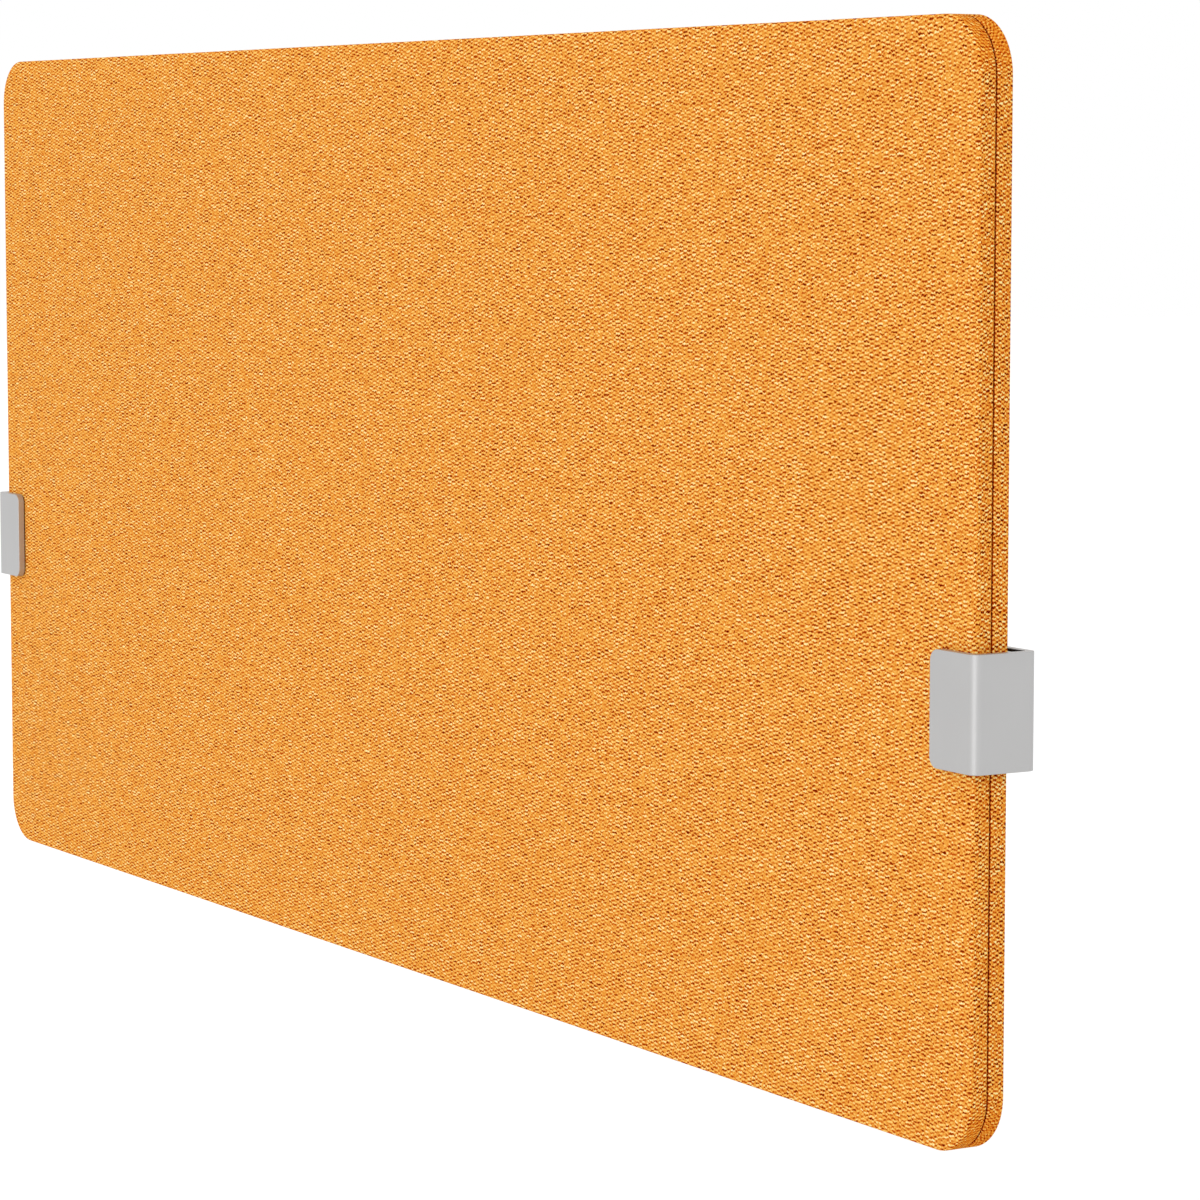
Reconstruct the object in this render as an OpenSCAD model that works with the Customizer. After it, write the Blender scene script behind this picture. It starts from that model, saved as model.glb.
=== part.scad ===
// Desk privacy panel: an upholstered screen held at its two short ends by folded steel clamps,
// whose arms screw to the underside of a desktop.
// Millimetres. +X along the panel, +Y towards the desk user, +Z up. The origin is the middle of
// the four desk screw holes, on the plane of the desktop's underside.

/* [Panel] */
// Length of the panel
panel_w = 1600; // [1200:50:1800]
// Height of the panel
panel_h = 745; // [600:5:800]
// Thickness of the panel over both covers
panel_t = 27; // [25:0.5:30]
// Radius of the panel's outline corners
corner_r = 40; // [25:1:55]
// Rounding where the faces turn into the edge
edge_r = 2; // [1.5:0.25:3]
// How far the panel reaches below the desktop's underside
panel_drop = 345; // [250:5:450]

/* [Covers] */
// Thickness of each woven cover
cover_t = 1; // [0.8:0.1:1.2]
// Width of the seam groove between the covers
seam_gap = 0.8; // [0.6:0.1:1.6]
// Depth to which each cover is tucked into the frame's edge groove
tuck_depth = 6; // [4:0.5:7]
// Depth of the edge groove in the frame
groove_depth = 8; // [7.5:0.5:10]
// How far the seam spline sits below the panel's edge
spline_recess = 3; // [2:0.5:4]
// Thickness of the padding under each cover
felt_t = 3; // [2:0.5:4]

/* [Frame] */
// Width of the stiles
stile_w = 60; // [55:1:80]
// Height of the rails
rail_h = 60; // [55:1:80]
// Diameter of the dowels
dowel_d = 8; // [6:1:10]
// Length of the dowels
dowel_len = 40; // [30:1:40]
// Distance between the two dowels of a joint
dowel_spacing = 28; // [24:1:30]
// Clearance round each infill board
infill_gap = 0.5; // [0.2:0.1:2]

/* [Clamps] */
// Height of the clamps
clamp_h = 78.5; // [70:0.5:90]
// Distance from the desktop's underside down to the clamps
clamp_drop = 10.75; // [5:0.25:20]
// Length of the front flange, over the side plate
flange_len = 50; // [45:1:60]
// Thickness of the folded sheet
sheet_t = 6; // [5:0.5:6]
// Outside radius of the folds
fold_r = 7; // [6.5:0.5:9]
// Radius of the flange corners
flange_r = 8; // [5:1:12]
// Inside distance between the two flanges
throat = 39; // [38:0.5:42]
// Gap between the panel's end and the side plate
end_gap = 3.5; // [2:0.5:6]
// How far the rear flange reaches in from the panel's end
rear_reach = 175; // [150:5:220]
// Height of the rear flange past the clamp
rear_h = 56; // [50:1:64]

/* [Clamp fittings] */
// Thickness of the pad behind the front flange
front_pad_t = 0.8; // [0.5:0.1:1]
// Thickness of the pad on the pressure plate
plate_pad_t = 1; // [0.5:0.1:1.5]
// Clearance between the pads and the covers
pad_gap = 0.2; // [0.1:0.05:0.3]
// Thickness of the pressure plate
plate_t = 4; // [3.5:0.5:4]
// Length of the pressure plate
plate_w = 40; // [36:1:44]
// Radius of the pressure plate's corners
plate_corner_r = 4; // [2:0.5:6]
// Thickness of the tapped bar inside the rear flange
bar_t = 2.5; // [2:0.5:3]
// Diameter of the clamp screws
screw_d = 8; // [6:1:8]
// Length of the clamp screws
screw_len = 16; // [14:1:20]
// Distance between the two clamp screws
screw_spacing = 40; // [30:1:46]
// Diameter of the screws' points
point_d = 6; // [4:0.5:6]
// Depth of the pockets that take the points
pocket_depth = 2.5; // [2:0.25:3]
// Running clearance of the screws, on the radius
running_gap = 0.05; // [0.02:0.01:0.1]

/* [Desk arms] */
// Width of the desk arms
arm_w = 40; // [36:1:50]
// Thickness of the desk arms
arm_t = 4; // [3:0.5:5]
// Reach of the arms under the desktop
arm_reach = 75; // [70:1:110]
// Outside radius of the arms' fold
arm_fold_r = 6; // [5.5:0.5:8]
// Distance from the panel's end to the middle of the arm
arm_inset = 150; // [125:1:195]
// Distance from the rear flange to the first desk screw hole
desk_hole_first = 20; // [16:1:25]
// Distance between the two desk screw holes of an arm
desk_hole_spacing = 40; // [30:1:60]
// Diameter of the desk screw holes
desk_hole_d = 5.5; // [4.5:0.5:7]
// Diameter of the bolts that hold the arms
bolt_d = 6; // [5:1:6]
// Distance between the two bolts of an arm
bolt_spacing = 24; // [20:1:26]

/* [Hidden] */
$fn = 64;
// A small overshoot for cutting tools
over = 0.5;

// Colours
fabric_colour = [0.93, 0.60, 0.22];
seam_colour = [0.25, 0.08, 0.02];
felt_colour = [0.85, 0.83, 0.78];
wood_colour = [0.80, 0.66, 0.47];
infill_colour = [0.62, 0.62, 0.60];
coat_colour = [0.75, 0.75, 0.74];
rubber_colour = [0.07, 0.07, 0.07];
oxide_colour = [0.10, 0.10, 0.11];
zinc_colour = [0.72, 0.73, 0.75];

// Where the layers lie across the clamp
rear_outer_y = -(desk_hole_first + desk_hole_spacing / 2);
rear_inner_y = rear_outer_y - sheet_t;
front_inner_y = rear_inner_y - throat;
front_outer_y = front_inner_y - sheet_t;
panel_front_y = front_inner_y + front_pad_t + pad_gap;
panel_mid_y = panel_front_y + panel_t / 2;
panel_rear_y = panel_front_y + panel_t;
plate_pad_y = panel_rear_y + pad_gap;
plate_front_y = plate_pad_y + plate_pad_t;
plate_rear_y = plate_front_y + plate_t;

// Heights and ends
panel_mid_z = panel_h / 2 - panel_drop;
clamp_high_z = -clamp_drop;
clamp_low_z = clamp_high_z - clamp_h;
clamp_mid_z = (clamp_low_z + clamp_high_z) / 2;
panel_end = panel_w / 2;
side_outer_x = panel_end + end_gap + sheet_t;
fold_x = side_outer_x - fold_r;

// Frame sizes inside the covers
frame_w = panel_w - 2 * cover_t;
frame_h = panel_h - 2 * cover_t;
frame_t = panel_t - 2 * (cover_t + felt_t);
frame_corner_r = corner_r - cover_t;
rail_len = frame_w - 2 * stile_w;
groove_w = seam_gap + 2 * cover_t;
opening_w = (rail_len - stile_w) / 2;
opening_h = frame_h - 2 * rail_h;
// Spare depth of the dowel holes, over both ends
dowel_spare = 1;
dowel_hole_len = dowel_len + dowel_spare;
infill_corner_r = 2;

// Clamp fittings
// How far the pressure plate stays inside the clamp's edges, and the pads inside what carries them
plate_inset = 1;
pad_inset = 1;
// The pressure plate reaches half way into the gap at the panel's end
plate_end = panel_end + end_gap / 2;
screw_x = panel_end - plate_w / 2;
screw_key = screw_d / 2;
screw_chamfer = 0.8;
// How far the shoulder of a clamp screw stands off its pocket
point_shoulder_gap = 0.2;

// Arms and their fastenings, with the head, key and nut in proportion to the bolt
arm_x = panel_end - arm_inset;
// How far the arm's foot stops above the lower edge of the rear flange
arm_foot_gap = 3;
bolt_hole_gap = 0.3;
bolt_hole_r = bolt_d / 2 + bolt_hole_gap;
bolt_head_r = bolt_d * 0.875;
bolt_head_h = bolt_d * 0.55;
bolt_key = bolt_d * 2 / 3;
// Thread left past the nut
bolt_tail = 1;
washer_t = 1.6;
washer_y = rear_outer_y + arm_t;
nut_h = bolt_d * 5 / 6;
nut_across_flats = bolt_d * 10 / 6;
nut_y = washer_y + washer_t;

// Width of a hexagon over its corners, for a width of one over its flats
hex_across_corners = 2 / sqrt(3);

// Heights of the clamp screws and of the arm bolts; k is 1 for the upper and -1 for the lower
function screw_z(k) = clamp_mid_z + k * screw_spacing / 2;
function bolt_z(k) = clamp_mid_z + k * bolt_spacing / 2;

// A rectangle from corner to corner
module box_2d(low, high) {
    translate(low)
        square(high - low);
}

// A rectangle whose four corners are round
module rounded_2d(low, high, r) {
    box_2d([low.x + r, low.y], [high.x - r, high.y]);
    box_2d([low.x, low.y + r], [high.x, high.y - r]);
    for (x = [low.x + r, high.x - r])
        for (y = [low.y + r, high.y - r])
            translate([x, y])
                circle(r);
}

// A strip with round corners at its low end only, for a sheet that goes on into a fold
module tongue_2d(low, high, r) {
    box_2d([low.x + r, low.y], high);
    box_2d([low.x, low.y + r], [low.x + r, high.y - r]);
    for (y = [low.y + r, high.y - r])
        intersection() {
            translate([low.x + r, y])
                circle(r);
            box_2d(low, [low.x + r, high.y]);
        }
}

// An upright plate drawn in X and Z, from one depth to another
module upright(y0, y1) {
    translate([0, y1, 0])
        rotate([90, 0, 0])
            linear_extrude(y1 - y0)
                children();
}

// A cylinder along +Y
module along_y(x, y, z, r, len) {
    translate([x, y, z])
        rotate([-90, 0, 0])
            cylinder(h = len, r = r);
}

// A hexagonal prism along +Y
module hex_along_y(x, y, z, across_flats, len) {
    translate([x, y, z])
        rotate([-90, 0, 0])
            cylinder(h = len, d = across_flats * hex_across_corners, $fn = 6);
}

// The right clamp as drawn, or its mirror image at the left end
module at_end(side) {
    if (side > 0)
        children();
    else
        mirror([1, 0, 0])
            children();
}

// The panel's own frame: X and Y across its face, Z out of its front
module stand_panel() {
    translate([0, panel_mid_y, panel_mid_z])
        rotate([90, 0, 0])
            children();
}

// Carries a profile round the panel's outline: its X runs outwards from the corner's centre
// and its Y out of the panel's front
module round_outline() {
    for (k = [0 : 3]) {
        across = (k % 2 == 0) ? panel_w : panel_h;
        along = (k % 2 == 0) ? panel_h : panel_w;
        rotate([0, 0, 90 * k])
            translate([across / 2 - corner_r, along / 2 - corner_r, 0]) {
                rotate([90, 0, 0])
                    linear_extrude(along - 2 * corner_r)
                        children();
                rotate_extrude(angle = 90)
                    children();
            }
    }
}

// Half of the panel's edge: one rounding at the face and one at the seam
module edge_2d(reach, low, high, face_r, seam_r) {
    box_2d([0, low], [reach - seam_r, high - face_r]);
    box_2d([0, low + seam_r], [reach, high - face_r]);
    box_2d([0, low + seam_r], [reach - face_r, high]);
    translate([reach - face_r, high - face_r])
        circle(face_r);
    translate([reach - seam_r, low + seam_r])
        circle(seam_r);
}

// The cover's profile: face sheet, edge strip and the hem that is tucked into the groove
module cover_profile() {
    low = seam_gap / 2;
    high = panel_t / 2;
    inner_r = edge_r - cover_t;
    hem_start = corner_r - cover_t - tuck_depth;
    difference() {
        edge_2d(corner_r, low, high, edge_r, cover_t);
        box_2d([-over, low + cover_t], [corner_r - cover_t - inner_r, high - cover_t]);
        box_2d([-over, low + cover_t], [corner_r - cover_t, high - cover_t - inner_r]);
        translate([corner_r - cover_t - inner_r, high - cover_t - inner_r])
            circle(inner_r);
        box_2d([-over, 0], [hem_start, high - cover_t]);
    }
}

module cover() {
    face_w = panel_w - 2 * corner_r;
    face_h = panel_h - 2 * corner_r;
    round_outline()
        cover_profile();
    translate([-face_w / 2, -face_h / 2, panel_t / 2 - cover_t])
        cube([face_w, face_h, cover_t]);
}

module front_cover() {
    color(fabric_colour)
        stand_panel()
            cover();
}

module rear_cover() {
    color(fabric_colour)
        stand_panel()
            rotate([0, 180, 0])
                cover();
}

// Dark strip that holds both hems in the groove
module seam_spline() {
    color(seam_colour)
        stand_panel()
            round_outline()
                box_2d([corner_r - cover_t - groove_depth + over, -seam_gap / 2],
                       [corner_r - spline_recess, seam_gap / 2]);
}

// Padding under one cover, kept clear of the rounded edge
module felt(face) {
    half = [panel_w / 2 - edge_r, panel_h / 2 - edge_r];
    low = face > 0 ? frame_t / 2 : -frame_t / 2 - felt_t;
    translate([0, 0, low])
        linear_extrude(felt_t)
            rounded_2d(-half, half, corner_r - edge_r);
}

module front_felt() {
    color(felt_colour)
        stand_panel()
            felt(1);
}

module rear_felt() {
    color(felt_colour)
        stand_panel()
            felt(-1);
}

// The groove for the hems, all round the frame's edge
module edge_groove() {
    round_outline()
        box_2d([corner_r - cover_t - groove_depth, -groove_w / 2], [corner_r, groove_w / 2]);
}

// A dowel, or its hole, centred on a joint; "along" is 0 for X and 90 for Y
module dowel(at, along, r, len) {
    translate([at.x, at.y, 0])
        rotate([0, 0, along])
            rotate([0, 90, 0])
                cylinder(h = len, r = r, center = true);
}

// Every dowel of the frame: rails to stiles along X, the mid stile to the rails along Y
module all_dowels(r, len) {
    for (sx = [-1, 1])
        for (sy = [-1, 1])
            for (k = [-1, 1])
                dowel([sx * rail_len / 2, sy * (frame_h - rail_h) / 2 + k * dowel_spacing / 2],
                      0, r, len);
    for (sy = [-1, 1])
        for (k = [-1, 1])
            dowel([k * dowel_spacing / 2, sy * opening_h / 2], 90, r, len);
}

// A frame member: its outline less the groove and the dowel holes
module member() {
    difference() {
        translate([0, 0, -frame_t / 2])
            linear_extrude(frame_t)
                children();
        edge_groove();
        all_dowels(dowel_d / 2 + running_gap, dowel_hole_len);
    }
}

module stile(side) {
    color(wood_colour)
        stand_panel()
            member()
                at_end(-side)
                    tongue_2d([-frame_w / 2, -frame_h / 2], [-rail_len / 2, frame_h / 2], frame_corner_r);
}

module rail(side) {
    middle = side * (frame_h - rail_h) / 2;
    color(wood_colour)
        stand_panel()
            member()
                box_2d([-rail_len / 2, middle - rail_h / 2], [rail_len / 2, middle + rail_h / 2]);
}

module mid_stile() {
    color(wood_colour)
        stand_panel()
            member()
                box_2d([-stile_w / 2, -opening_h / 2], [stile_w / 2, opening_h / 2]);
}

module frame_dowels() {
    color(wood_colour)
        stand_panel()
            all_dowels(dowel_d / 2, dowel_len);
}

// Sound-absorbing board in one of the frame's two openings
module infill(side) {
    middle = side * (stile_w + opening_w) / 2;
    half = [opening_w / 2 - infill_gap, opening_h / 2 - infill_gap];
    color(infill_colour)
        stand_panel()
            translate([middle, 0, -frame_t / 2])
                linear_extrude(frame_t)
                    rounded_2d(-half, half, infill_corner_r);
}

// A quarter turn of the folded sheet, from +Y towards +X
module fold(outer_r, t, height) {
    rotate_extrude(angle = 90)
        box_2d([outer_r - t, 0], [outer_r, height]);
}

// Folded steel clamp: front flange, fold, side plate, fold, rear flange with its long tongue
module bracket(side) {
    flange_end = side_outer_x - flange_len;
    tongue_end = panel_end - rear_reach;
    color(coat_colour)
        at_end(side) {
            upright(front_outer_y, front_inner_y)
                tongue_2d([flange_end, clamp_low_z], [fold_x, clamp_high_z], flange_r);
            translate([fold_x, front_outer_y + fold_r, clamp_low_z])
                rotate([0, 0, -90])
                    fold(fold_r, sheet_t, clamp_h);
            translate([side_outer_x - sheet_t, front_outer_y + fold_r, clamp_low_z])
                cube([sheet_t, rear_outer_y - front_outer_y - 2 * fold_r, clamp_h]);
            translate([fold_x, rear_outer_y - fold_r, clamp_low_z])
                fold(fold_r, sheet_t, clamp_h);
            difference() {
                upright(rear_inner_y, rear_outer_y) {
                    tongue_2d([flange_end, clamp_low_z], [fold_x, clamp_high_z], flange_r);
                    tongue_2d([tongue_end, clamp_mid_z - rear_h / 2],
                              [flange_end + flange_r, clamp_mid_z + rear_h / 2], flange_r);
                }
                clamp_screw_holes();
                arm_bolt_holes(rear_inner_y, sheet_t);
            }
        }
}

// The two screw holes through the rear flange and the bar
module clamp_screw_holes() {
    for (k = [-1, 1])
        along_y(screw_x, rear_inner_y - bar_t - over, screw_z(k),
                screw_d / 2 + running_gap, bar_t + sheet_t + 2 * over);
}

// The two bolt holes for the arm, through a plate that starts at y0
module arm_bolt_holes(y0, t) {
    for (k = [-1, 1])
        along_y(arm_x, y0 - over, bolt_z(k), bolt_hole_r, t + 2 * over);
}

// Outline of the pads between the clamp and the panel
module pad_2d(x0, x1, inset) {
    rounded_2d([x0, clamp_low_z + inset], [x1, clamp_high_z - inset], flange_r - inset);
}

module front_pad(side) {
    color(rubber_colour)
        at_end(side)
            upright(front_inner_y, front_inner_y + front_pad_t)
                pad_2d(side_outer_x - flange_len + pad_inset, panel_end, pad_inset);
}

// Tapped bar that lies against the rear flange and ends where the fold starts
module thread_bar(side) {
    color(oxide_colour)
        at_end(side)
            difference() {
                upright(rear_inner_y - bar_t, rear_inner_y)
                    tongue_2d([panel_end - plate_w, clamp_low_z], [fold_x, clamp_high_z], flange_r);
                clamp_screw_holes();
            }
}

// Plate that the screws push against the panel's back, with a blind pocket for each point
module pressure_plate(side) {
    color(coat_colour)
        at_end(side)
            difference() {
                upright(plate_front_y, plate_rear_y)
                    rounded_2d([plate_end - plate_w, clamp_low_z + plate_inset],
                               [plate_end, clamp_high_z - plate_inset], plate_corner_r);
                for (k = [-1, 1])
                    along_y(screw_x, plate_rear_y - pocket_depth, screw_z(k),
                            point_d / 2 + running_gap, pocket_depth + over);
            }
}

module plate_pad(side) {
    color(rubber_colour)
        at_end(side)
            upright(plate_pad_y, plate_front_y)
                pad_2d(plate_end - plate_w + pad_inset, panel_end - edge_r, plate_inset + pad_inset);
}

// Set screw with a dog point and a hexagon socket; level is 1 for the upper and -1 for the lower
module clamp_screw(side, level) {
    z = screw_z(level);
    tip_y = plate_rear_y - pocket_depth + running_gap;
    point_len = pocket_depth + point_shoulder_gap;
    thread_len = screw_len - point_len - screw_chamfer;
    end_y = tip_y + screw_len;
    color(oxide_colour)
        at_end(side)
            difference() {
                union() {
                    along_y(screw_x, tip_y, z, point_d / 2, point_len);
                    along_y(screw_x, tip_y + point_len, z, screw_d / 2, thread_len);
                    translate([screw_x, end_y - screw_chamfer, z])
                        rotate([-90, 0, 0])
                            cylinder(h = screw_chamfer, r1 = screw_d / 2, r2 = screw_d / 2 - screw_chamfer);
                }
                hex_along_y(screw_x, end_y - screw_key, z, screw_key, screw_key + over);
            }
}

// Folded arm: an upright leg on the rear flange and a level leg under the desktop
module desk_arm(side) {
    low = clamp_mid_z - rear_h / 2 + arm_foot_gap;
    left = arm_x - arm_w / 2;
    right = arm_x + arm_w / 2;
    fold_y = rear_outer_y + arm_fold_r;
    color(coat_colour)
        at_end(side) {
            difference() {
                upright(rear_outer_y, rear_outer_y + arm_t)
                    rotate([0, 0, 90])
                        tongue_2d([low, -right], [-arm_fold_r, -left], flange_r);
                arm_bolt_holes(rear_outer_y, arm_t);
            }
            translate([left, fold_y, -arm_fold_r])
                rotate([90, 0, 90])
                    rotate([0, 0, 90])
                        fold(arm_fold_r, arm_t, arm_w);
            translate([0, 0, -arm_t])
                difference() {
                    linear_extrude(arm_t)
                        rotate([0, 0, -90])
                            tongue_2d([-rear_outer_y - arm_reach, left], [-fold_y, right], flange_r);
                    for (k = [-1, 1])
                        translate([arm_x, k * desk_hole_spacing / 2, -over])
                            cylinder(h = arm_t + 2 * over, d = desk_hole_d);
                }
        }
}

// Round-headed bolts through the rear flange and the arm
module arm_bolts(side) {
    shank_len = sheet_t + arm_t + washer_t + nut_h + bolt_tail;
    key_d = bolt_key * hex_across_corners;
    dome_r = (bolt_head_r * bolt_head_r + bolt_head_h * bolt_head_h) / (2 * bolt_head_h);
    color(oxide_colour)
        at_end(side)
            for (k = [-1, 1])
                translate([arm_x, rear_inner_y, bolt_z(k)])
                    rotate([-90, 0, 0])
                        difference() {
                            union() {
                                cylinder(h = shank_len, d = bolt_d);
                                rotate_extrude()
                                    intersection() {
                                        translate([0, dome_r - bolt_head_h])
                                            circle(dome_r);
                                        box_2d([0, -bolt_head_h - over], [bolt_head_r + over, 0]);
                                    }
                            }
                            translate([0, 0, -bolt_head_h - over])
                                cylinder(h = bolt_head_h / 2 + over, d = key_d, $fn = 6);
                        }
}

module arm_washers(side) {
    color(zinc_colour)
        at_end(side)
            for (k = [-1, 1])
                difference() {
                    along_y(arm_x, washer_y, bolt_z(k), bolt_d, washer_t);
                    along_y(arm_x, washer_y - over, bolt_z(k), bolt_hole_r, washer_t + 2 * over);
                }
}

module arm_nuts(side) {
    color(zinc_colour)
        at_end(side)
            for (k = [-1, 1])
                difference() {
                    hex_along_y(arm_x, nut_y, bolt_z(k), nut_across_flats, nut_h);
                    along_y(arm_x, nut_y - over, bolt_z(k), bolt_d / 2 + running_gap, nut_h + 2 * over);
                }
}

front_cover();
rear_cover();
seam_spline();
front_felt();
rear_felt();
stile(-1);  // left_stile
stile(1);  // right_stile
rail(1);  // top_rail
rail(-1);  // bottom_rail
mid_stile();
frame_dowels();
infill(-1);  // left_infill
infill(1);  // right_infill
bracket(1);  // right_bracket
front_pad(1);  // right_front_pad
thread_bar(1);  // right_thread_bar
pressure_plate(1);  // right_pressure_plate
plate_pad(1);  // right_plate_pad
clamp_screw(1, 1);  // right_upper_screw
clamp_screw(1, -1);  // right_lower_screw
desk_arm(1);  // right_desk_arm
arm_bolts(1);  // right_arm_bolts
arm_washers(1);  // right_arm_washers
arm_nuts(1);  // right_arm_nuts
bracket(-1);  // left_bracket
front_pad(-1);  // left_front_pad
thread_bar(-1);  // left_thread_bar
pressure_plate(-1);  // left_pressure_plate
plate_pad(-1);  // left_plate_pad
clamp_screw(-1, 1);  // left_upper_screw
clamp_screw(-1, -1);  // left_lower_screw
desk_arm(-1);  // left_desk_arm
arm_bolts(-1);  // left_arm_bolts
arm_washers(-1);  // left_arm_washers
arm_nuts(-1);  // left_arm_nuts
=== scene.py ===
"""Looks of the desk privacy panel: woven covers, powder-coated clamps and their fittings."""
import math

import bmesh
import bpy
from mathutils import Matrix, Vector


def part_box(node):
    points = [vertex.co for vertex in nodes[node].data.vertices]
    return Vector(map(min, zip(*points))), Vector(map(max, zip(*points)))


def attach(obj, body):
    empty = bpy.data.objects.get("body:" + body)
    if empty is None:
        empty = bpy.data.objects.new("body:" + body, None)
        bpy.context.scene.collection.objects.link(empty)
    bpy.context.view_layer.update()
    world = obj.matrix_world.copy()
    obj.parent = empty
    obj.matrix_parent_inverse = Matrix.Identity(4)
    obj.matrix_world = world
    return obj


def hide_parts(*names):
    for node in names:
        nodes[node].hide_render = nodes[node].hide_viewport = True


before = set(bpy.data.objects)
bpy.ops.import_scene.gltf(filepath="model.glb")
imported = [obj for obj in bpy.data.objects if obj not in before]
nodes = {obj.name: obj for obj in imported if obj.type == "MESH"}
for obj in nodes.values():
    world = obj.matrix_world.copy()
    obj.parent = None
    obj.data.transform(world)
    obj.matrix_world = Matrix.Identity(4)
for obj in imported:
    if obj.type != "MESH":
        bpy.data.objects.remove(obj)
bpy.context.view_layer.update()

MM = 0.001
ENDS = ("right_", "left_")

# Covers, as they are cut and folded
CORNER_R = 40 * MM
EDGE_R = 2 * MM
COVER_T = 1 * MM
TUCK_DEPTH = 6 * MM
FACE_STEP = 40 * MM
CORNER_STEPS = 16
ARC_STEPS = 6

# The share of the roll into the groove after which cloth counts as hem, with its painted shade,
# and how soon the cloth is fully taut on the way round a corner
TUCKED_BY = 0.57
CORNER_PULL = 2.6

# Weave: weft floats and the warps between them take turns, cell by cell
WARP_PITCH = 5.5 * MM
WEFT_PITCH = 1.5 * MM
WEFT_SKEW = 0.036
# How deep the yarns' relief is in each cell, at random; it sets the bump and the painted highlight
# and shade of the weave
RELIEF_LEAST = 0.20
RELIEF_SPREAD = 0.34
MIDDLE_HEIGHT = 0.5
YARN_DEPTH = 0.4 * MM
YARN_BUMP = 0.6
REAR_SHIFT = (0.41, 0.23)
WEAVE_MAP = "weave"
WRAP = "wrap"

# How far the yarns wander at most, in cells, with the scale of the noise that leads them
SWAY = 1.25
SWAY_SCALE = 200
LIFT = 0.92
LIFT_SCALE = 430

# How the weave changes on the edge strip, round the corners and on the hems
STRIP_DENSITY = 2.0
PARTED_GAIN = 0.25
# Painted shade that deepens the colour on the edge strip, more round the corners
STRIP_PAINTED_SHADE = 0.17
TAUT_LOSS = 0.68
# Painted shade of the groove, darkening the hems towards the dark red end of the weave's colours
HEM_PAINTED_SHADE = 0.35

# How much of a second noise is mixed into felt and wood, and the scales of the wood's grain
FELT_BLOTCH = 0.4
WOOD_FIBRE = 0.3
GRAIN_ALONG = 3
GRAIN_ACROSS = 60

# The map that the looks are baked to, with a narrow band for the covers' insides
BAKE_MAP = "OFBake"
LINING_SHARE = 0.06

# Screws and bolts
SCREW_PITCH = 1.25 * MM
SCREW_POINT_R = 3 * MM
SCREW_POINT_LEN = 2.7 * MM
SCREW_CHAMFER = 0.8 * MM
SCREW_KEY = 4 * MM
BOLT_R = 3 * MM
BOLT_PITCH = 1 * MM
BOLT_SPACING = 24 * MM
BOLT_HEAD_H = 3.3 * MM
BOLT_KEY = 4 * MM
BOLT_RIM = BOLT_KEY / 2 * 1.3
BOLT_KEY_DEPTH = 1.65 * MM
BOLT_CHAMFER = 0.6 * MM
POINT_CHAMFER = 0.4 * MM
THREAD_DEPTH = 0.55
RING_STEPS = 36
RINGS_PER_PITCH = 6
DOME_STEPS = 6

# Creases and rounded edges, with angles in degrees
CLOTH_CREASE = 60
TURNED_CREASE = 35
SHEET_ROUNDING = 0.5 * MM
BAR_ROUNDING = 0.3 * MM
PAD_ROUNDING = 0.2 * MM
NUT_ROUNDING = 0.4 * MM
ROUNDING_STEPS = 3
ROUNDED_FROM = 50
FLAT_WITHIN = 0.5
WELD_WITHIN = 0.01 * MM
LARGE_FACE_WEIGHT = 100

# Camera: its place in metres, angles in degrees, lens and sensor in millimetres
CAMERA_PLACE = (3.0599, -1.6954, 0.3035)
CAMERA_YAW = 59.508
CAMERA_PITCH = 84.227
CAMERA_LENS = 129.34
SENSOR = 36
CLIP_START = 0.1
CLIP_END = 100

# Stage and light
FLOOR_Z = -0.72
FLOOR_SIZE = 40
FLOOR_COLOUR = (0.85, 0.85, 0.85, 1.0)
FLOOR_GLOW = 0.33
SKY_COLOUR = (1.0, 1.0, 1.0, 1.0)
SKY_LIGHT = 0.85
SUN_FROM = (2.5, -4.1, 1.1)
SUN_POWER = 1.0
SUN_ANGLE = 45


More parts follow.
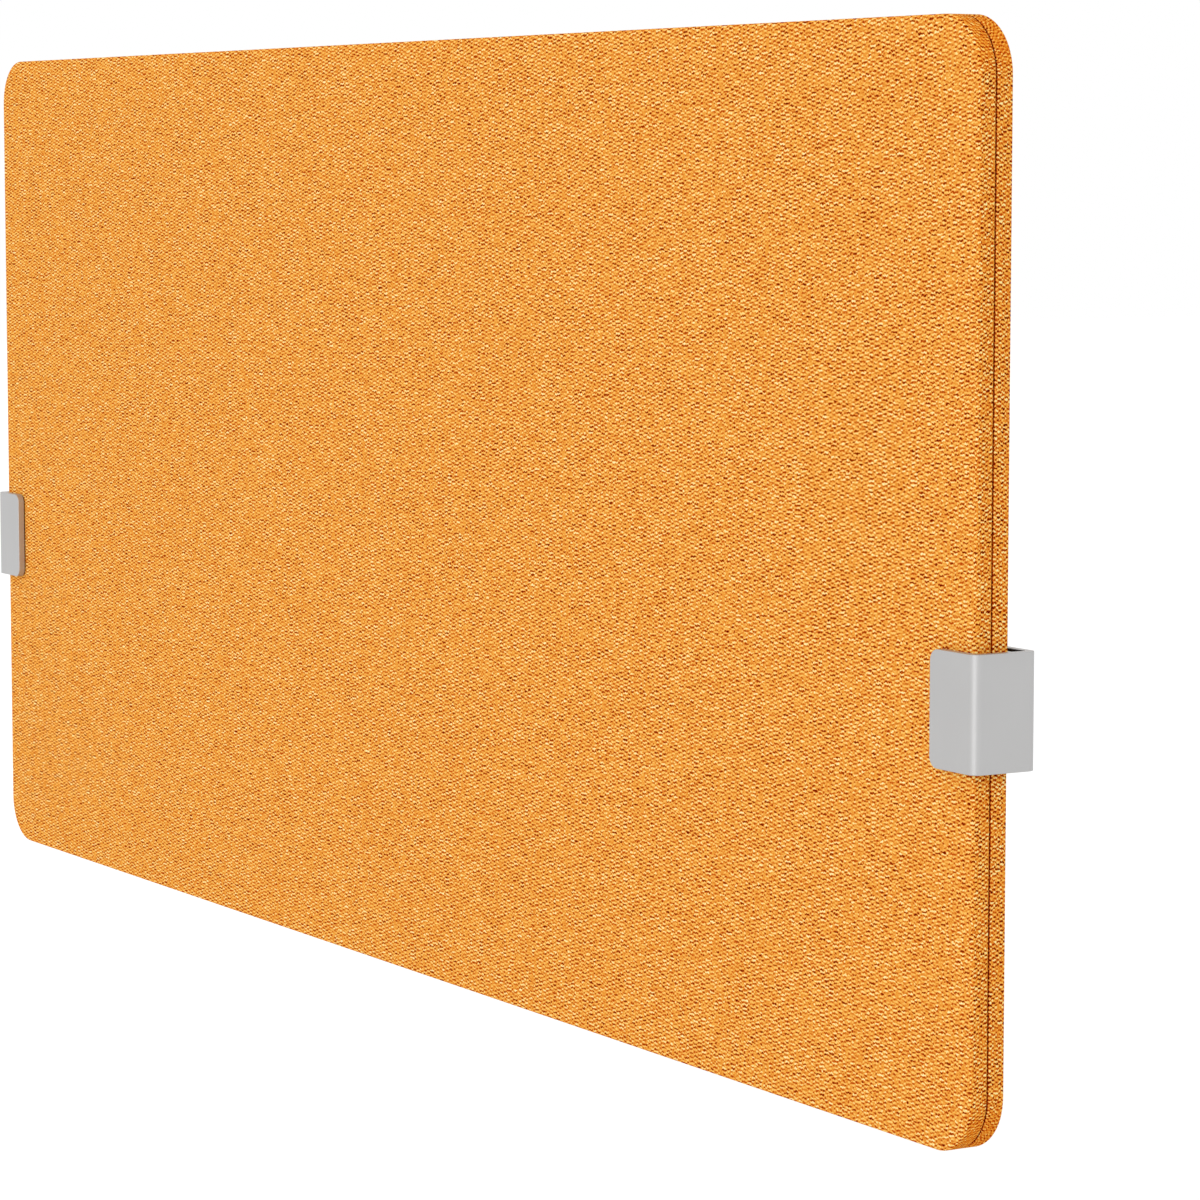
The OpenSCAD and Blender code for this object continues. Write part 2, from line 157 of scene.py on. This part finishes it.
class Nodes:
    """Adds nodes to one tree. A value is a number, a colour or another node's output."""

    def __init__(self, tree):
        self.tree = tree
        tree.nodes.clear()

    def put(self, socket, value):
        if isinstance(value, bpy.types.NodeSocket):
            self.tree.links.new(value, socket)
        else:
            socket.default_value = value

    def add(self, kind, values=(), **settings):
        node = self.tree.nodes.new(kind)
        for name, value in settings.items():
            setattr(node, name, value)
        for name, value in dict(values).items():
            self.put(node.inputs[name], value)
        return node

    def math(self, operation, *values):
        node = self.add("ShaderNodeMath", operation=operation)
        for socket, value in zip(node.inputs, values):
            self.put(socket, value)
        return node.outputs[0]

    def scaled(self, value, factor, offset=0.0):
        """value * factor + offset"""
        return self.math("MULTIPLY_ADD", value, factor, offset)

    def mix(self, share, first, second):
        """first where share is 0 and second where it is 1"""
        return self.scaled(self.math("SUBTRACT", second, first), share, first)

    def join(self, x, y, z=0.0):
        return self.add("ShaderNodeCombineXYZ", {"X": x, "Y": y, "Z": z}).outputs[0]

    def noise(self, vector, scale, detail=2.0, roughness=0.5):
        values = {"Vector": vector, "Scale": scale, "Detail": detail, "Roughness": roughness}
        return self.add("ShaderNodeTexNoise", values).outputs["Fac"]

    def ramp(self, share, *stops):
        node = self.add("ShaderNodeValToRGB", {"Fac": share})
        elements = node.color_ramp.elements
        while len(elements) < len(stops):
            elements.new(0.5)
        for element, (place, colour) in zip(elements, stops):
            element.position = place
            element.color = (*colour, 1.0)
        return node.outputs["Color"]

    def tones(self, share, dark, pale, low=0.3, high=0.7):
        """From dark, where share is low, to pale, where it is high"""
        return self.ramp(share, (low, dark), (high, pale))

    def span(self, share, low, high):
        values = {"Value": share, "To Min": low, "To Max": high}
        return self.add("ShaderNodeMapRange", values).outputs[0]

    def bump(self, height, strength, distance):
        values = {"Height": height, "Strength": strength, "Distance": distance}
        return self.add("ShaderNodeBump", values).outputs["Normal"]

    def place(self, x=1.0, y=1.0, z=1.0):
        """Object coordinates, each scaled by its own number"""
        place = self.add("ShaderNodeTexCoord").outputs["Object"]
        return self.add("ShaderNodeMapping", {"Vector": place, "Scale": (x, y, z)}).outputs[0]


def surface(name, build, **constants):
    """A material whose linked inputs come from build and whose other inputs are constants"""
    material = bpy.data.materials.new(name)
    material.use_nodes = True
    tree = Nodes(material.node_tree)
    shader = tree.add("ShaderNodeBsdfPrincipled")
    for socket, value in constants.items():
        shader.inputs[socket.replace("_", " ")].default_value = value
    for socket, value in build(tree).items():
        tree.put(shader.inputs[socket], value)
    tree.add("ShaderNodeOutputMaterial", {"Surface": shader.outputs["BSDF"]})
    return material


# Materials

def weave(tree):
    """Plain weave: bright weft floats take turns with deeper warps, with dark red gaps between.
    The pale crowns are painted highlight and the dark gaps painted shade, by the yarns' height.
    """
    flat = tree.add("ShaderNodeUVMap", uv_map=WEAVE_MAP).outputs["UV"]
    place = tree.add("ShaderNodeSeparateXYZ", {"Vector": flat}).outputs
    across, up = place["X"], place["Y"]
    risen = tree.scaled(across, -WEFT_SKEW, up)
    turned = tree.join(up, across)
    sway = tree.scaled(tree.noise(flat, SWAY_SCALE, detail=1), 2 * SWAY, -SWAY)
    lift = tree.scaled(tree.noise(turned, LIFT_SCALE, detail=1), 2 * LIFT, -LIFT)
    column = tree.scaled(across, 1 / WARP_PITCH, sway)
    row = tree.scaled(risen, 1 / WEFT_PITCH, lift)

    # On the edge strip the yarns part and a painted shade deepens the colour, more round the
    # corners, where the cloth is pulled taut and its relief is smoother; the hems get a painted
    # shade of the groove
    wrap = tree.add("ShaderNodeAttribute", attribute_name=WRAP).outputs["Fac"]
    strip_wrap = tree.math("MAXIMUM", wrap, 0.0)
    tucked = tree.math("MINIMUM", wrap, 0.0)
    taut = tree.math("MAXIMUM", tree.scaled(wrap, 1.0, -1.0), 0.0)

    # 1 in the middle of a weft float, -1 in the middle of the warps beside it
    wave = tree.math("MULTIPLY", half_wave(tree, column), half_wave(tree, row))
    cell = tree.join(tree.math("FLOOR", column), tree.math("FLOOR", row))
    chance = tree.add("ShaderNodeTexWhiteNoise", {"Vector": cell}, noise_dimensions="2D")
    strength = tree.scaled(taut, -TAUT_LOSS, tree.scaled(strip_wrap, PARTED_GAIN, 1.0))
    share = tree.scaled(chance.outputs["Value"], RELIEF_SPREAD, RELIEF_LEAST)
    relief = tree.math("MULTIPLY", share, strength)
    height = tree.scaled(wave, relief, MIDDLE_HEIGHT)

    # Painted highlight and shade: the colour runs from dark red in the gaps to pale yellow on the
    # floats' crowns, by the yarns' height; the hems are pushed towards the dark end as painted
    # shade of the groove
    colour = tree.ramp(
        tree.scaled(tucked, HEM_PAINTED_SHADE, height),
        (0.00, (0.120, 0.000, 0.000)),
        (0.25, (0.530, 0.068, 0.002)),
        (0.50, (0.850, 0.335, 0.043)),
        (0.75, (1.000, 0.610, 0.150)),
        (1.00, (1.000, 0.900, 0.480)),
    )
    # Painted shade: a gamma that deepens the colour on the edge strip, more round the corners
    depth = tree.scaled(strip_wrap, STRIP_PAINTED_SHADE, 1.0)
    deepened = tree.add("ShaderNodeGamma", {"Color": colour, "Gamma": depth})
    return {
        "Base Color": deepened.outputs["Color"],
        "Normal": tree.bump(height, YARN_BUMP, YARN_DEPTH),
    }


def half_wave(tree, place):
    """A sine wave that turns at each whole number"""
    return tree.math("SINE", tree.math("MULTIPLY", place, math.pi))


def seam_tape(tree):
    """Fine threads of a dark red strip"""
    thread = tree.noise(tree.place(), scale=900, detail=3)
    return {
        "Base Color": tree.tones(thread, (0.150, 0.010, 0.000), (0.350, 0.035, 0.002)),
        "Normal": tree.bump(thread, strength=0.4, distance=0.2 * MM),
    }


def felt(tree, dark, pale):
    """Pressed fibres with soft blotches"""
    place = tree.place()
    fibre = tree.noise(place, scale=400, detail=6, roughness=0.7)
    blotch = tree.noise(place, scale=30, detail=3)
    tone = tree.mix(FELT_BLOTCH, fibre, blotch)
    return {
        "Base Color": tree.tones(tone, dark, pale, low=0.35, high=0.65),
        "Normal": tree.bump(fibre, strength=0.5, distance=0.4 * MM),
    }


def padding(tree):
    return felt(tree, (0.52, 0.49, 0.42), (0.72, 0.69, 0.62))


def absorber(tree):
    return felt(tree, (0.22, 0.22, 0.21), (0.38, 0.38, 0.36))


def grain(tree, scales):
    """Planed softwood, with its grain along the direction of the smallest scale"""
    place = tree.place(*scales)
    fibre = tree.noise(place, scale=9, detail=3, roughness=0.6)
    band = tree.noise(place, scale=1, detail=4, roughness=0.6)
    tone = tree.mix(WOOD_FIBRE, band, fibre)
    colour = tree.ramp(
        tone,
        (0.30, (0.42, 0.25, 0.11)),
        (0.50, (0.60, 0.41, 0.21)),
        (0.70, (0.70, 0.52, 0.30)),
    )
    return {"Base Color": colour, "Normal": tree.bump(fibre, strength=0.2, distance=0.2 * MM)}


def upright_grain(tree):
    return grain(tree, (GRAIN_ACROSS, GRAIN_ACROSS, GRAIN_ALONG))


def level_grain(tree):
    return grain(tree, (GRAIN_ALONG, GRAIN_ACROSS, GRAIN_ACROSS))


def powder_coat(tree):
    """Satin coat with a fine peel and faint clouds"""
    place = tree.place()
    peel = tree.noise(place, scale=1100, detail=2)
    cloud = tree.noise(place, scale=25, detail=2)
    return {
        "Base Color": tree.tones(cloud, (0.483, 0.480, 0.478), (0.497, 0.494, 0.492)),
        "Roughness": tree.span(peel, low=0.34, high=0.42),
        "Normal": tree.bump(peel, strength=0.05, distance=0.1 * MM),
    }


def rubber(tree):
    """Matt rubber with fine specks"""
    speck = tree.noise(tree.place(), scale=1500, detail=3)
    return {
        "Base Color": tree.tones(speck, (0.008, 0.008, 0.008), (0.020, 0.020, 0.020)),
        "Normal": tree.bump(speck, strength=0.3, distance=0.1 * MM),
    }


def black_oxide(tree):
    """Blackened steel with faint clouds"""
    cloud = tree.noise(tree.place(), scale=300, detail=4)
    return {
        "Base Color": tree.tones(cloud, (0.006, 0.006, 0.007), (0.018, 0.018, 0.019)),
        "Roughness": tree.span(cloud, low=0.55, high=0.75),
    }


def zinc(tree):
    """Plated steel with small spangles"""
    spangle = tree.noise(tree.place(), scale=500, detail=3)
    return {
        "Base Color": tree.tones(spangle, (0.50, 0.52, 0.54), (0.62, 0.63, 0.64)),
        "Roughness": tree.span(spangle, low=0.28, high=0.42),
    }


FABRIC = surface("woven_fabric", weave, Roughness=1.0, Specular_IOR_Level=0.0)
SEAM = surface("seam_strip", seam_tape, Roughness=0.95, Specular_IOR_Level=0.1)
PADDING = surface("padding_felt", padding, Roughness=0.95)
ABSORBER = surface("absorber_board", absorber, Roughness=0.95)
UPRIGHT_WOOD = surface("upright_wood", upright_grain, Roughness=0.7)
LEVEL_WOOD = surface("level_wood", level_grain, Roughness=0.7)
COAT = surface("grey_powder_coat", powder_coat, Metallic=0.7, Specular_IOR_Level=0.0)
RUBBER = surface("black_rubber", rubber, Roughness=0.9, Specular_IOR_Level=0.1)
OXIDE = surface("black_steel", black_oxide, Specular_IOR_Level=0.2)
ZINC = surface("zinc_steel", zinc, Metallic=1.0)


def make_mesh(name, points, faces, crease):
    """A smooth mesh with its faces turned outwards and its edges sharp from the crease angle on"""
    mesh = bpy.data.meshes.new(name)
    mesh.from_pydata(points, [], faces)
    shape = bmesh.new()
    shape.from_mesh(mesh)
    bmesh.ops.recalc_face_normals(shape, faces=shape.faces)
    shape.to_mesh(mesh)
    shape.free()
    mesh.shade_smooth()
    mesh.set_sharp_from_angle(angle=math.radians(crease))
    return mesh


def make_piece(name, mesh, body, slot, material, *stands_for):
    """A visible piece that rides on a body and stands for CAD nodes"""
    piece = bpy.data.objects.new(name, mesh)
    bpy.context.scene.collection.objects.link(piece)
    mesh.materials.append(material)
    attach(piece, body)
    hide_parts(*stands_for)
    return piece


# Covers

def arc(centre, radius, start, end, steps):
    """Points on an arc between two angles in degrees, each with its share of the way"""
    found = []
    for k in range(steps + 1):
        share = k / steps
        angle = math.radians(start + (end - start) * share)
        x = centre[0] + radius * math.cos(angle)
        y = centre[1] + radius * math.sin(angle)
        found.append((x, y, share))
    return found


def cover_section(half_t, low):
    """The cover's section from the face round the edge to its hem, outside and inside.
    A point is its distance out from the corner's centre, its distance from the panel's middle
    and its wrap: 0 on the face, 1 on the edge strip and -1 on the hem. Round the corners, where
    the cloth is pulled taut, the wrap of the edge strip rises to 2."""
    inner_r = EDGE_R - COVER_T
    inner_end = CORNER_R - COVER_T
    hem = inner_end - TUCK_DEPTH
    outside = [(0.0, half_t, 0.0)]
    outside += arc((CORNER_R - EDGE_R, half_t - EDGE_R), EDGE_R, 90, 0, ARC_STEPS)
    roll = arc((inner_end, low + COVER_T), COVER_T, 0, -90, ARC_STEPS)
    outside += [(out, depth, 1 - 2 * min(share / TUCKED_BY, 1)) for out, depth, share in roll]
    outside += [(hem, low, -1.0)]
    inside = [(0.0, half_t - COVER_T, 0.0)]
    inside += arc((inner_end - inner_r, half_t - COVER_T - inner_r), inner_r, 90, 0, ARC_STEPS)
    inside += [(inner_end, low + COVER_T, 1.0), (hem, low + COVER_T, -1.0)]
    return outside, inside


def lengths_along(points):
    """The distance along a line of points, at each of them"""
    found = [0.0]
    for first, second in zip(points, points[1:]):
        found.append(found[-1] + math.dist(first[:2], second[:2]))
    return found


class Cover:
    """One woven cover; facing is -1 for the front, which faces -Y, and 1 for the rear"""

    def __init__(self, facing):
        front_low, front_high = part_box("front_cover")
        rear_low, rear_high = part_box("rear_cover")
        self.facing = facing
        self.half = ((front_high.x - front_low.x) / 2, (front_high.z - front_low.z) / 2)
        self.middle = (front_low + rear_high) / 2
        self.half_t = (rear_high.y - front_low.y) / 2
        self.low = (rear_low.y - front_high.y) / 2
        self.core = [h - CORNER_R for h in self.half]
        self.count = [round(2 * c / FACE_STEP) for c in self.core]
        self.points = []
        self.flats = []
        self.wovens = []
        self.wraps = []
        self.faces = []

    def add_point(self, x, z, depth, flat, woven, layer, wrap):
        """A point, with its place on the flat cloth and in the weave; gives its index"""
        place = (self.middle.x + x, self.middle.y + self.facing * depth, self.middle.z + z)
        self.points.append(place)
        self.flats.append((*flat, layer))
        self.wovens.append(woven)
        self.wraps.append(wrap)
        return len(self.points) - 1

    def add_face_grid(self, depth, layer):
        """The flat part inside the corners' centres; gives its points by column and row"""
        grid = {}
        for i in range(self.count[0] + 1):
            for k in range(self.count[1] + 1):
                x = self.core[0] * (2 * i / self.count[0] - 1)
                z = self.core[1] * (2 * k / self.count[1] - 1)
                grid[i, k] = self.add_point(x, z, depth, (x, z), (x, z), layer, 0.0)
        for i in range(self.count[0]):
            for k in range(self.count[1]):
                self.faces.append((grid[i, k], grid[i + 1, k], grid[i + 1, k + 1], grid[i, k + 1]))
        return grid

    def stations(self):
        """Grid points round the flat part, each with its outward angle; corners repeat theirs"""
        columns, rows = self.count
        sides = [
            [(columns, k) for k in range(rows + 1)],
            [(i, rows) for i in reversed(range(columns + 1))],
            [(0, k) for k in reversed(range(rows + 1))],
            [(i, 0) for i in range(columns + 1)],
        ]
        found = []
        for quarter, side in enumerate(sides):
            found += [(at, 90 * quarter) for at in side]
            turns = [quarter + s / CORNER_STEPS for s in range(1, CORNER_STEPS)]
            found += [(side[-1], 90 * turn) for turn in turns]
        return found

    def add_edge(self, grid, section, layer):
        """Carries a section round the flat part; gives the ring of points at its end"""
        stations = self.stations()
        ring = [grid[at] for at, angle in stations]
        along = lengths_along(section)
        for (out, depth, wrap), length in list(zip(section, along))[1:]:
            dense = length + (STRIP_DENSITY - 1) * max(length - along[1], 0.0)
            new = []
            for at, angle in stations:
                x, z = self.flats[grid[at]][:2]
                c, s = math.cos(math.radians(angle)), math.sin(math.radians(angle))
                flat = (x + length * c, z + length * s)
                woven = (x + dense * c, z + length * s)
                # Round a corner the strip's wrap rises towards 2, which lowers the relief and
                # deepens the strip's painted shade
                pull = min(abs(c * s) * CORNER_PULL, 1.0)
                taut = wrap * (1 + pull) if wrap > 0 else wrap
                place = (x + out * c, z + out * s, depth)
                new.append(self.add_point(*place, flat, woven, layer, taut))
            self.add_band(ring, new)
            ring = new
        return ring

    def add_band(self, first, second):
        """Faces between two rings; at a corner's centre, where points repeat, they are triangles"""
        for k in range(len(first)):
            n = (k + 1) % len(first)
            corners = dict.fromkeys((first[k], first[n], second[n], second[k]))
            self.faces.append(tuple(corners))

    def flat_size(self):
        """Width and height of the cloth as it is cut, hems included"""
        reach = lengths_along(cover_section(self.half_t, self.low)[0])[-1]
        return [2 * (c + reach) for c in self.core]

    def mesh(self, name):
        outside, inside = cover_section(self.half_t, self.low)
        outer_hem = self.add_edge(self.add_face_grid(self.half_t, 0), outside, 0)
        inner_hem = self.add_edge(self.add_face_grid(self.half_t - COVER_T, 1), inside, 1)
        self.add_band(outer_hem, inner_hem)
        mesh = make_mesh(name, self.points, self.faces, CLOTH_CREASE)
        self.add_maps(mesh)
        return mesh

    def add_maps(self, mesh):
        """The weave's map in metres on the flat cloth, the wrap of each point,
        and a map from 0 to 1 with the lining apart"""
        weave_map = mesh.uv_layers.new(name=WEAVE_MAP)
        bake_map = mesh.uv_layers.new(name=BAKE_MAP)
        width, height = self.flat_size()
        shift = Vector(REAR_SHIFT) if self.facing > 0 else Vector((0, 0))
        for loop in mesh.loops:
            x, z, layer = self.flats[loop.vertex_index]
            weave_map.data[loop.index].uv = Vector(self.wovens[loop.vertex_index]) + shift
            share = z / height + 0.5
            v = share * LINING_SHARE if layer else LINING_SHARE + share * (1 - LINING_SHARE)
            bake_map.data[loop.index].uv = (x / width + 0.5, v)
        mesh.attributes.new(WRAP, "FLOAT", "POINT").data.foreach_set("value", self.wraps)


for side, facing in (("front", -1), ("rear", 1)):
    cover = Cover(facing)
    name = side + "_cover_cloth"
    cloth = make_piece(name, cover.mesh(name), "panel", "woven_fabric", FABRIC, side + "_cover")
    cover.flat_size()


# Screws and bolts, as rings of points round an axis along +Y

RING_ANGLES = [2 * math.pi * k / RING_STEPS for k in range(RING_STEPS)]


def shaped_ring(y, radii):
    return [(r * math.cos(a), y, r * math.sin(a)) for r, a in zip(radii, RING_ANGLES)]


def round_ring(y, r):
    return shaped_ring(y, [r] * RING_STEPS)


def hex_ring(y, across_flats):
    sixth = math.pi / 3
    radii = [across_flats / 2 / math.cos(a % sixth - sixth / 2) for a in RING_ANGLES]
    return shaped_ring(y, radii)


def thread_rings(start, end, r, pitch):
    """A right-hand thread: the radius falls and rises once in each turn and in each pitch"""
    count = round((end - start) / pitch * RINGS_PER_PITCH)
    found = []
    for k in range(count + 1):
        y = start + (end - start) * k / count
        turns = [(y / pitch + a / (2 * math.pi)) % 1 for a in RING_ANGLES]
        radii = [r - pitch * THREAD_DEPTH * (1 - abs(2 * t - 1)) for t in turns]
        found.append(shaped_ring(y, radii))
    return found


def turned_mesh(name, rings, places):
    """The same closed row of rings at each place"""
    points, faces = [], []
    for place in places:
        first = len(points)
        for one in rings:
            points += [tuple(Vector(p) + place) for p in one]
        for k in range(len(rings) - 1):
            low = first + k * RING_STEPS
            for i in range(RING_STEPS):
                n = (i + 1) % RING_STEPS
                faces.append((low + i, low + n, low + RING_STEPS + n, low + RING_STEPS + i))
        faces.append(tuple(range(first, first + RING_STEPS)))
        faces.append(tuple(range(len(points) - RING_STEPS, len(points))))
    return make_mesh(name, points, faces, TURNED_CREASE)


def clamp_screw_rings(length, r):
    """Set screw from its dog point to its hexagon socket"""
    end = length - SCREW_CHAMFER
    return [
        round_ring(0.0, SCREW_POINT_R - POINT_CHAMFER),
        round_ring(POINT_CHAMFER, SCREW_POINT_R),
        round_ring(SCREW_POINT_LEN, SCREW_POINT_R),
        *thread_rings(SCREW_POINT_LEN + POINT_CHAMFER, end, r, SCREW_PITCH),
        round_ring(length, r - SCREW_CHAMFER),
        hex_ring(length, SCREW_KEY),
        hex_ring(length - SCREW_KEY, SCREW_KEY),
    ]


def arm_bolt_rings(length, head_r):
    """Round-headed bolt from the socket in its head to its tail"""
    dome_r = (head_r ** 2 + BOLT_HEAD_H ** 2) / (2 * BOLT_HEAD_H)
    rim_y = dome_r - math.sqrt(dome_r ** 2 - BOLT_RIM ** 2)
    dome = []
    for k in range(DOME_STEPS + 1):
        y = rim_y + (BOLT_HEAD_H - rim_y) * k / DOME_STEPS
        dome.append(round_ring(y, math.sqrt(dome_r ** 2 - (dome_r - y) ** 2)))
    return [
        hex_ring(BOLT_KEY_DEPTH, BOLT_KEY),
        hex_ring(rim_y, BOLT_KEY),
        *dome,
        round_ring(BOLT_HEAD_H, BOLT_R),
        *thread_rings(BOLT_HEAD_H + BOLT_CHAMFER, length - BOLT_CHAMFER, BOLT_R, BOLT_PITCH),
        round_ring(length, BOLT_R - BOLT_CHAMFER),
    ]


def middle_start(low, high):
    """The start of the axis along +Y through the middle of a box"""
    return Vector(((low.x + high.x) / 2, low.y, (low.z + high.z) / 2))


for end in ENDS:
    for level in ("upper_", "lower_"):
        node = end + level + "screw"
        low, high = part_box(node)
        rings = clamp_screw_rings(high.y - low.y, (high.x - low.x) / 2)
        name = end + level + "clamp_screw"
        screw_mesh = turned_mesh(name, rings, [middle_start(low, high)])
        make_piece(name, screw_mesh, node, "black_steel", OXIDE, node)
    low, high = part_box(end + "arm_bolts")
    rings = arm_bolt_rings(high.y - low.y, (high.x - low.x) / 2)
    lift = Vector((0, 0, BOLT_SPACING / 2))
    middle = middle_start(low, high)
    name = end + "arm_bolt_pair"
    bolt_mesh = turned_mesh(name, rings, [middle - lift, middle + lift])
    make_piece(name, bolt_mesh, "clamps", "black_steel", OXIDE, end + "arm_bolts")


# Finishes and rounded edges of the nodes that stay

def finish_node(name, material, rounding=0.0):
    """Gives a node its material and, where it has one, its edge rounding"""
    node = nodes[name]
    node.data.materials.clear()
    node.data.materials.append(material)
    if rounding:
        weld = node.modifiers.new("weld", "WELD")
        weld.merge_threshold = WELD_WITHIN
        flat = node.modifiers.new("flat", "DECIMATE")
        flat.decimate_type = "DISSOLVE"
        flat.angle_limit = math.radians(FLAT_WITHIN)
        bevel = node.modifiers.new("rounding", "BEVEL")
        bevel.width = rounding
        bevel.segments = ROUNDING_STEPS
        bevel.limit_method = "ANGLE"
        bevel.angle_limit = math.radians(ROUNDED_FROM)
        bevel.use_clamp_overlap = False
        normals = node.modifiers.new("normals", "WEIGHTED_NORMAL")
        normals.weight = LARGE_FACE_WEIGHT


for name in ("left_stile", "right_stile", "mid_stile"):
    finish_node(name, UPRIGHT_WOOD)
for name in ("top_rail", "bottom_rail", "frame_dowels"):
    finish_node(name, LEVEL_WOOD)
for name in ("front_felt", "rear_felt"):
    finish_node(name, PADDING)
for name in ("left_infill", "right_infill"):
    finish_node(name, ABSORBER)
finish_node("seam_spline", SEAM)
for end in ENDS:
    finish_node(end + "bracket", COAT, SHEET_ROUNDING)
    finish_node(end + "desk_arm", COAT, SHEET_ROUNDING)
    finish_node(end + "pressure_plate", COAT, SHEET_ROUNDING)
    finish_node(end + "thread_bar", OXIDE, BAR_ROUNDING)
    finish_node(end + "front_pad", RUBBER, PAD_ROUNDING)
    finish_node(end + "plate_pad", RUBBER, PAD_ROUNDING)
    finish_node(end + "arm_washers", ZINC, PAD_ROUNDING)
    finish_node(end + "arm_nuts", ZINC, NUT_ROUNDING)


# Stage, light and camera

def white_to_camera(tree):
    """1 for what the camera sees directly or in gloss or glass, else 0"""
    path = tree.add("ShaderNodeLightPath").outputs
    seen = tree.math("MAXIMUM", path["Is Camera Ray"], path["Is Glossy Ray"])
    return tree.math("MAXIMUM", seen, path["Is Transmission Ray"])


def make_floor():
    half = FLOOR_SIZE / 2
    outline = ((-half, -half), (half, -half), (half, half), (-half, half))
    mesh = bpy.data.meshes.new("floor")
    mesh.from_pydata([(x, y, FLOOR_Z) for x, y in outline], [], [(0, 1, 2, 3)])
    floor = bpy.data.objects.new("floor", mesh)
    bpy.context.scene.collection.objects.link(floor)
    material = bpy.data.materials.new("floor")
    material.use_nodes = True
    tree = Nodes(material.node_tree)
    matt = tree.add("ShaderNodeBsdfDiffuse", {"Color": FLOOR_COLOUR}).outputs[0]
    strength = tree.math("MULTIPLY", white_to_camera(tree), FLOOR_GLOW)
    glow = tree.add("ShaderNodeEmission", {"Strength": strength}).outputs[0]
    both = tree.add("ShaderNodeAddShader")
    tree.put(both.inputs[0], matt)
    tree.put(both.inputs[1], glow)
    tree.add("ShaderNodeOutputMaterial", {"Surface": both.outputs[0]})
    mesh.materials.append(material)


def make_world():
    world = bpy.data.worlds.new("studio")
    world.use_nodes = True
    tree = Nodes(world.node_tree)
    strength = tree.mix(white_to_camera(tree), SKY_LIGHT, 1.0)
    sky = tree.add("ShaderNodeBackground", {"Color": SKY_COLOUR, "Strength": strength})
    tree.add("ShaderNodeOutputWorld", {"Surface": sky.outputs[0]})
    bpy.context.scene.world = world


def make_sun():
    lamp = bpy.data.lights.new("sun", "SUN")
    lamp.energy = SUN_POWER
    lamp.angle = math.radians(SUN_ANGLE)
    holder = bpy.data.objects.new("sun", lamp)
    holder.rotation_euler = (-Vector(SUN_FROM)).to_track_quat("-Z", "Y").to_euler()
    bpy.context.scene.collection.objects.link(holder)


def make_camera():
    lens = bpy.data.cameras.new("camera")
    lens.sensor_width = SENSOR
    lens.lens = CAMERA_LENS
    lens.clip_start = CLIP_START
    lens.clip_end = CLIP_END
    camera = bpy.data.objects.new("camera", lens)
    camera.location = CAMERA_PLACE
    camera.rotation_euler = (math.radians(CAMERA_PITCH), 0.0, math.radians(CAMERA_YAW))
    bpy.context.scene.collection.objects.link(camera)
    bpy.context.scene.camera = camera


make_floor()
make_world()
make_sun()
make_camera()
bpy.context.scene.view_settings.view_transform = "Standard"
